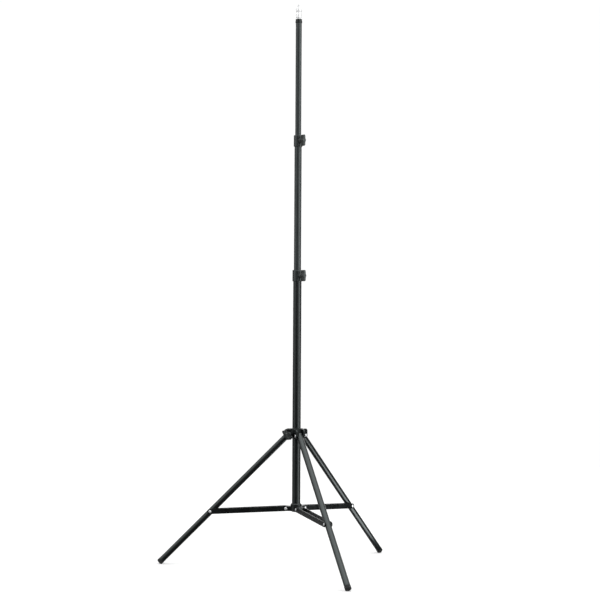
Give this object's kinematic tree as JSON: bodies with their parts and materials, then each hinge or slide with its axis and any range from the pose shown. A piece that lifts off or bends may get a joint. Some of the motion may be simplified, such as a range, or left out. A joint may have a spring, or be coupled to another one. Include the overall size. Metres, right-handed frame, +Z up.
{
  "type": "light stand",
  "caption": "Black folding light stand: sliding hub with braced tubular legs, telescoping column with clamp knobs, and a spigot with a screw stud on top.",
  "frame": {"origin": "where the column's axis meets the floor, in the middle of the three feet", "axes": "+Z up along the column; leg 1 points along +Y, legs 2 and 3 are 120 degrees round at -X-Y and +X-Y"},
  "size_m": [0.6508, 0.5658, 1.482],
  "materials": {
    "tube_black": "satin black anodised aluminium tube, faint drawn lines along it",
    "brace_black": "semi-gloss black enamel on flat bar",
    "moulding_plastic": "fine-grained black nylon moulding",
    "knob_plastic": "dark grey moulded knob, slightly worn",
    "cap_black": "smooth black moulding",
    "nylon": "plain dark nylon",
    "foot_rubber": "matt black rubber",
    "rivet_steel": "bright nickel-plated steel",
    "screw_steel": "zinc-plated steel",
    "insert_brass": "turned brass",
    "spigot_steel": "turned and polished steel"
  },
  "bodies": {
    "base": {"lower_tube": "tube_black", "base_plug": "nylon", "base_bracket": "moulding_plastic", "base_rivet": "rivet_steel", "brace_pivot_rivets": "rivet_steel", "lower_collar": "moulding_plastic", "lower_collar_nut": "insert_brass"},
    "hub": {"leg_hub": "moulding_plastic", "leg_hub_nut": "insert_brass", "leg_pivot_rivets": "rivet_steel"},
    "leg_1": {"leg_1_tube": "tube_black", "leg_1_plug": "nylon", "leg_1_foot": "foot_rubber"},
    "leg_2": {"leg_2_tube": "tube_black", "leg_2_plug": "nylon", "leg_2_foot": "foot_rubber"},
    "leg_3": {"leg_3_tube": "tube_black", "leg_3_plug": "nylon", "leg_3_foot": "foot_rubber"},
    "brace_1": {"brace_1_left_bar": "brace_black", "brace_1_right_bar": "brace_black", "brace_1_rivets": "rivet_steel"},
    "brace_2": {"brace_2_left_bar": "brace_black", "brace_2_right_bar": "brace_black", "brace_2_rivets": "rivet_steel"},
    "brace_3": {"brace_3_left_bar": "brace_black", "brace_3_right_bar": "brace_black", "brace_3_rivets": "rivet_steel"},
    "middle_slider": {"middle_guide_bush": "nylon"},
    "middle_section": {"middle_tube": "tube_black", "upper_collar": "moulding_plastic", "upper_collar_nut": "insert_brass"},
    "top_slider": {"top_guide_bush": "nylon"},
    "top_section": {"top_tube": "tube_black", "top_cap": "cap_black", "spigot": "spigot_steel", "spigot_pin": "screw_steel"},
    "hub_pad": {"hub_pad": "nylon"},
    "hub_knob": {"hub_knob": "knob_plastic", "hub_knob_screw": "screw_steel"},
    "lower_pad": {"lower_pad": "nylon"},
    "lower_knob": {"lower_knob": "knob_plastic", "lower_knob_screw": "screw_steel"},
    "upper_pad": {"upper_pad": "nylon"},
    "upper_knob": {"upper_knob": "knob_plastic", "upper_knob_screw": "screw_steel"}
  },
  "joints": [
    {"name": "hub_slide", "type": "slide", "parent": "base", "child": "hub", "axis": [0, 0, 1], "range_m": [0, 0.30173]},
    {"name": "leg_1_fold", "type": "hinge", "parent": "hub", "child": "leg_1", "pos_m": [0, 0.0245, 0.34863], "axis": [-1, 0, 0], "range_deg": [0, 42.55]},
    {"name": "leg_2_fold", "type": "hinge", "parent": "hub", "child": "leg_2", "pos_m": [-0.02122, -0.01225, 0.34863], "axis": [0.5, -0.866, 0], "range_deg": [0, 42.55]},
    {"name": "leg_3_fold", "type": "hinge", "parent": "hub", "child": "leg_3", "pos_m": [0.02122, -0.01225, 0.34863], "axis": [0.5, 0.866, 0], "range_deg": [0, 42.55]},
    {"name": "brace_1_fold", "type": "hinge", "parent": "base", "child": "brace_1", "pos_m": [0, 0.026, 0.15695], "axis": [1, 0, 0], "range_deg": [0, 90.68]},
    {"name": "brace_2_fold", "type": "hinge", "parent": "base", "child": "brace_2", "pos_m": [-0.02252, -0.013, 0.15695], "axis": [-0.5, 0.866, 0], "range_deg": [0, 90.68]},
    {"name": "brace_3_fold", "type": "hinge", "parent": "base", "child": "brace_3", "pos_m": [0.02252, -0.013, 0.15695], "axis": [-0.5, -0.866, 0], "range_deg": [0, 90.68]},
    {"name": "middle_slide", "type": "slide", "parent": "base", "child": "middle_slider", "axis": [0, 0, 1], "range_m": [-0.324, 0.2095]},
    {"name": "middle_turn", "type": "hinge", "parent": "middle_slider", "child": "middle_section", "pos_m": [0, 0, 0.51], "axis": [0, 0, 1], "continuous": true},
    {"name": "top_slide", "type": "slide", "parent": "middle_section", "child": "top_slider", "axis": [0, 0, 1], "range_m": [-0.295, 0.236]},
    {"name": "top_turn", "type": "hinge", "parent": "top_slider", "child": "top_section", "pos_m": [0, 0, 0.838], "axis": [0, 0, 1], "continuous": true},
    {"name": "hub_knob_travel", "type": "slide", "parent": "hub", "child": "hub_pad", "axis": [0, -1, 0], "range_m": [0, 0.001]},
    {"name": "hub_knob_turn", "type": "hinge", "parent": "hub_pad", "child": "hub_knob", "pos_m": [0, -0.02, 0.35163], "axis": [0, -1, 0], "range_deg": [0, 360.3]},
    {"name": "lower_knob_travel", "type": "slide", "parent": "base", "child": "lower_pad", "axis": [0.9703, -0.2419, 0], "range_m": [0, 0.001]},
    {"name": "lower_knob_turn", "type": "hinge", "parent": "lower_pad", "child": "lower_knob", "pos_m": [0.01941, -0.00484, 0.7685], "axis": [0.9703, -0.2419, 0], "range_deg": [0, 360.3]},
    {"name": "upper_knob_travel", "type": "slide", "parent": "middle_section", "child": "upper_pad", "axis": [0.9455, -0.3256, 0], "range_m": [0, 0.001]},
    {"name": "upper_knob_turn", "type": "hinge", "parent": "upper_pad", "child": "upper_knob", "pos_m": [0.01891, -0.00651, 1.123], "axis": [0.9455, -0.3256, 0], "range_deg": [0, 360.3]}
  ],
  "couplings": [
    {"joint": "leg_1_fold", "follows": "hub_slide", "rad_per_m": 2.4584},
    {"joint": "leg_2_fold", "follows": "hub_slide", "rad_per_m": 2.4584},
    {"joint": "leg_3_fold", "follows": "hub_slide", "rad_per_m": 2.4584},
    {"joint": "brace_1_fold", "follows": "hub_slide", "rad_per_m": 5.2422},
    {"joint": "brace_2_fold", "follows": "hub_slide", "rad_per_m": 5.2422},
    {"joint": "brace_3_fold", "follows": "hub_slide", "rad_per_m": 5.2422},
    {"joint": "hub_knob_turn", "follows": "hub_knob_travel", "rad_per_m": 6283.2},
    {"joint": "lower_knob_turn", "follows": "lower_knob_travel", "rad_per_m": 6283.2},
    {"joint": "upper_knob_turn", "follows": "upper_knob_travel", "rad_per_m": 6283.2}
  ]
}
